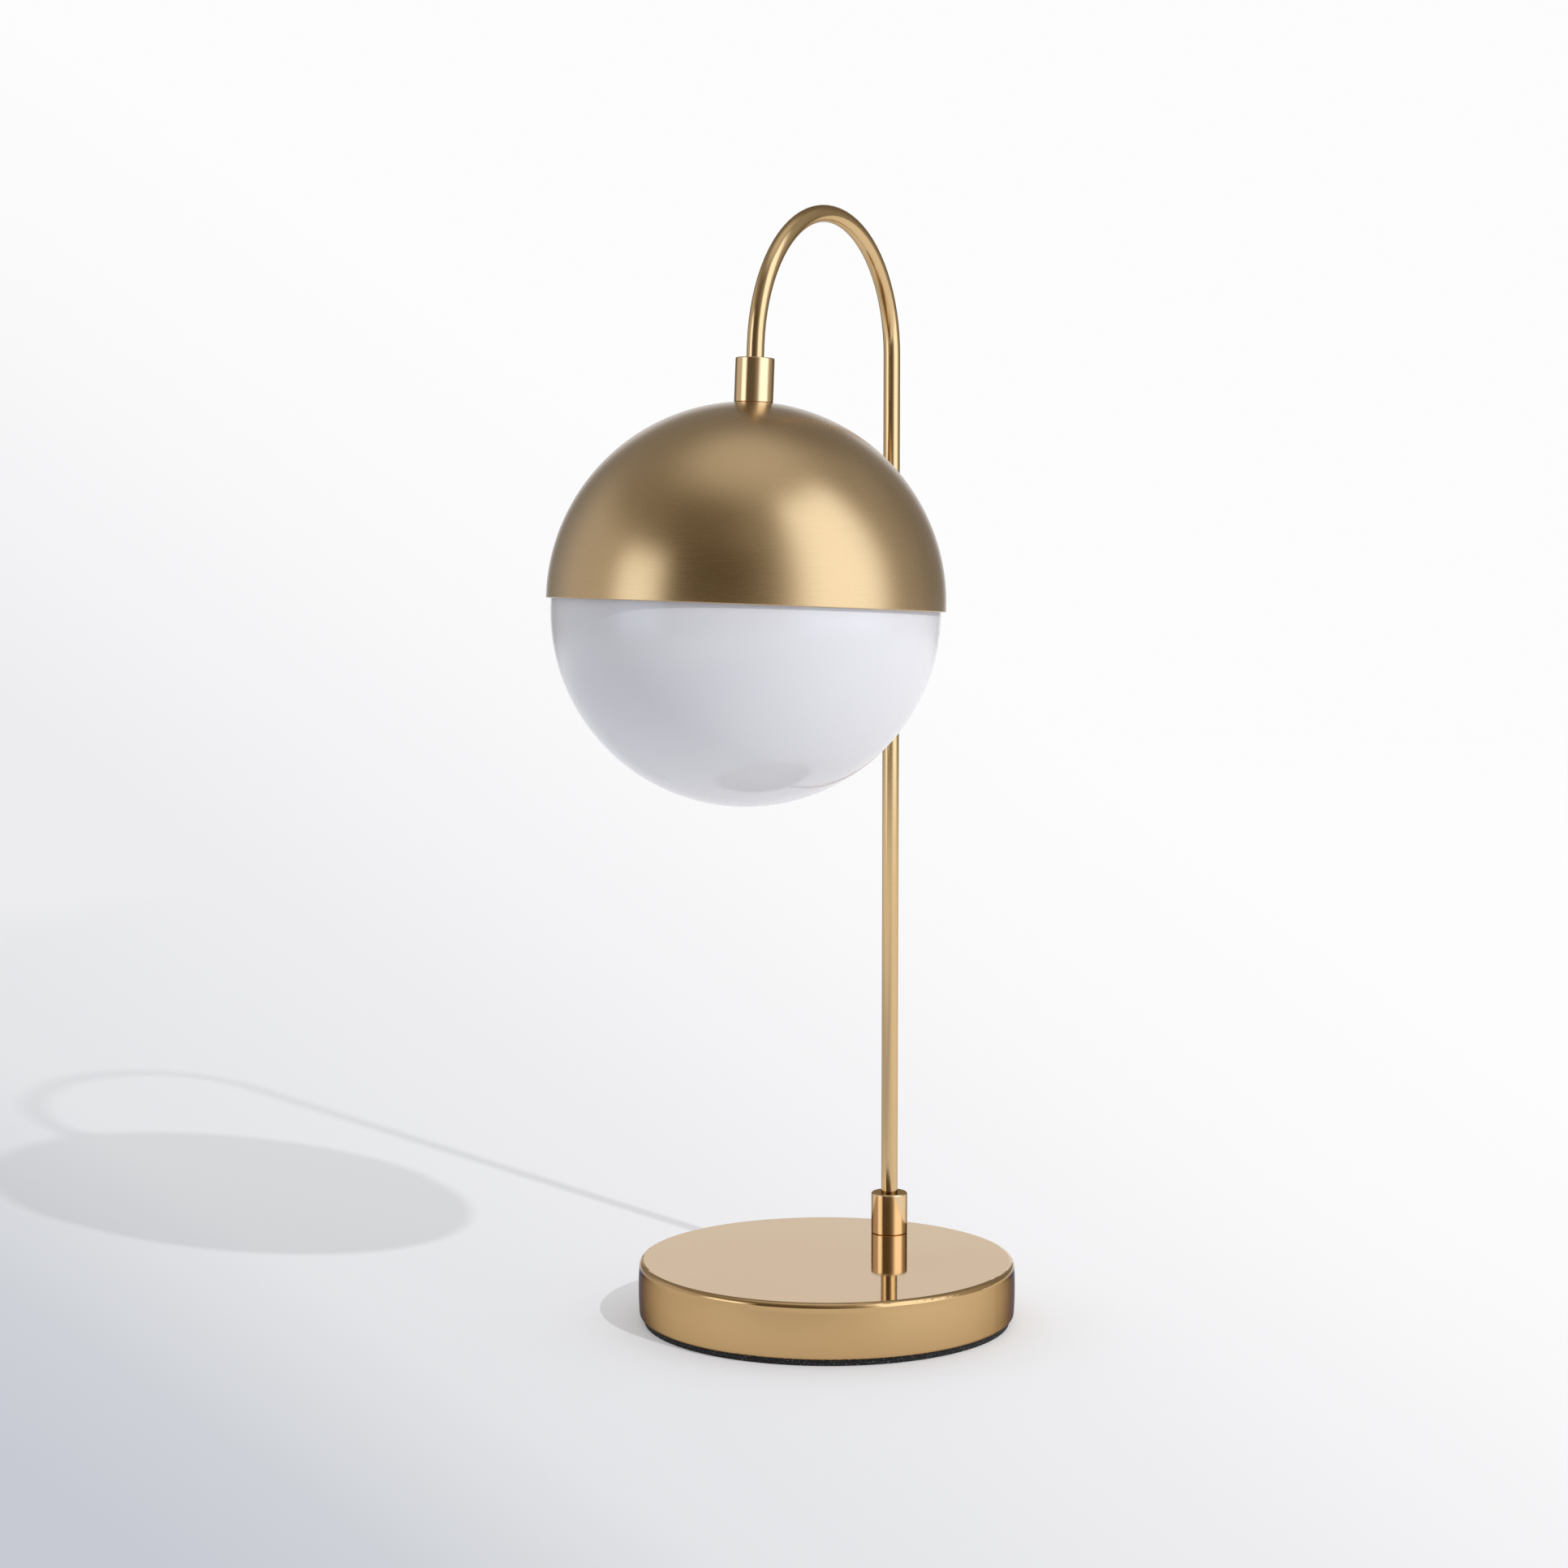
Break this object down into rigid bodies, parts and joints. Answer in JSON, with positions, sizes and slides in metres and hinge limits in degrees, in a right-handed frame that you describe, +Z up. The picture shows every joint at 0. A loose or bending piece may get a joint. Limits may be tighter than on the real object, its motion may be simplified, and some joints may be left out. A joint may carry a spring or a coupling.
{
  "type": "table lamp",
  "caption": "Table lamp with a weighted round foot, an arched tube and an opal glass globe under a half-round metal shade.",
  "frame": {"origin": "on the table, under the centre of the round foot", "axes": "+Z up. The tube stands at the back of the foot, at +Y, and its arch lies in the plane of Y and Z, so that the globe hangs at the front, at -Y. +X is to the right of someone who faces the lamp."},
  "size_m": [0.1808, 0.2575, 0.5282],
  "materials": {
    "polished_gold": "thin sheet with a mirror-polished champagne gold plating",
    "satin_gold": "spun sheet with a satin champagne gold plating",
    "tube_gold": "polished brass-coloured tube",
    "collar_gold": "turned and polished, copper-gold",
    "opal_glass": "glossy opal white, blown",
    "ballast_iron": "as cast",
    "zinc_steel": "zinc plated",
    "pad_foam": "black speckled foam pad",
    "black_rubber": "moulded, matt",
    "clear_gasket": "silicone, translucent white",
    "block_plastic": "moulded nylon",
    "core_insulation": "clear-grey insulation over copper",
    "holder_plastic": "black phenolic moulding",
    "holder_ceramic": "unglazed porcelain",
    "contact_brass": "pressed brass, bare",
    "bulb_metal": "rolled thread shell",
    "bulb_glass": "white coated inside"
  },
  "bodies": {
    "lamp": {"foot_cover": "polished_gold", "ballast": "ballast_iron", "bottom_plate": "zinc_steel", "plate_screws": "zinc_steel", "foot_pad": "pad_foam", "inlet_bush": "black_rubber", "terminal_block": "block_plastic", "block_screws": "zinc_steel", "stem_collar": "collar_gold", "stem_nipple": "zinc_steel", "foot_washer": "zinc_steel", "spring_washer": "zinc_steel", "foot_nut": "zinc_steel", "arched_tube": "tube_gold", "shade_collar": "collar_gold", "shade_nipple": "zinc_steel", "shade_washer": "zinc_steel", "shade_nut": "zinc_steel", "shade": "satin_gold", "globe_carrier": "zinc_steel", "holder_cap": "holder_plastic", "holder_skirt": "holder_plastic", "holder_insert": "holder_ceramic", "screw_shell": "contact_brass", "centre_contact": "contact_brass", "terminal_screws": "contact_brass", "inner_cores": "core_insulation"},
    "gasket": {"globe_gasket": "clear_gasket"},
    "globe": {"glass_globe": "opal_glass", "neck_ring": "bulb_metal"},
    "bulb": {"bulb_cap": "bulb_metal", "bulb_envelope": "bulb_glass"}
  },
  "joints": [
    {"name": "globe_travel", "type": "slide", "parent": "lamp", "child": "gasket", "axis": [0, -0.075, -0.9972], "range_m": [0, 0.0108]},
    {"name": "globe_turn", "type": "hinge", "parent": "gasket", "child": "globe", "pos_m": [0, -0.07575, 0.34758], "axis": [0, -0.075, -0.9972], "range_deg": [0, 1080]},
    {"name": "bulb_out", "type": "slide", "parent": "lamp", "child": "bulb", "axis": [0, -0.075, -0.9972], "range_m": [0, 0.024]}
  ],
  "couplings": [
    {"joint": "globe_travel", "follows": "globe_turn", "m_per_rad": 0.00057295}
  ]
}
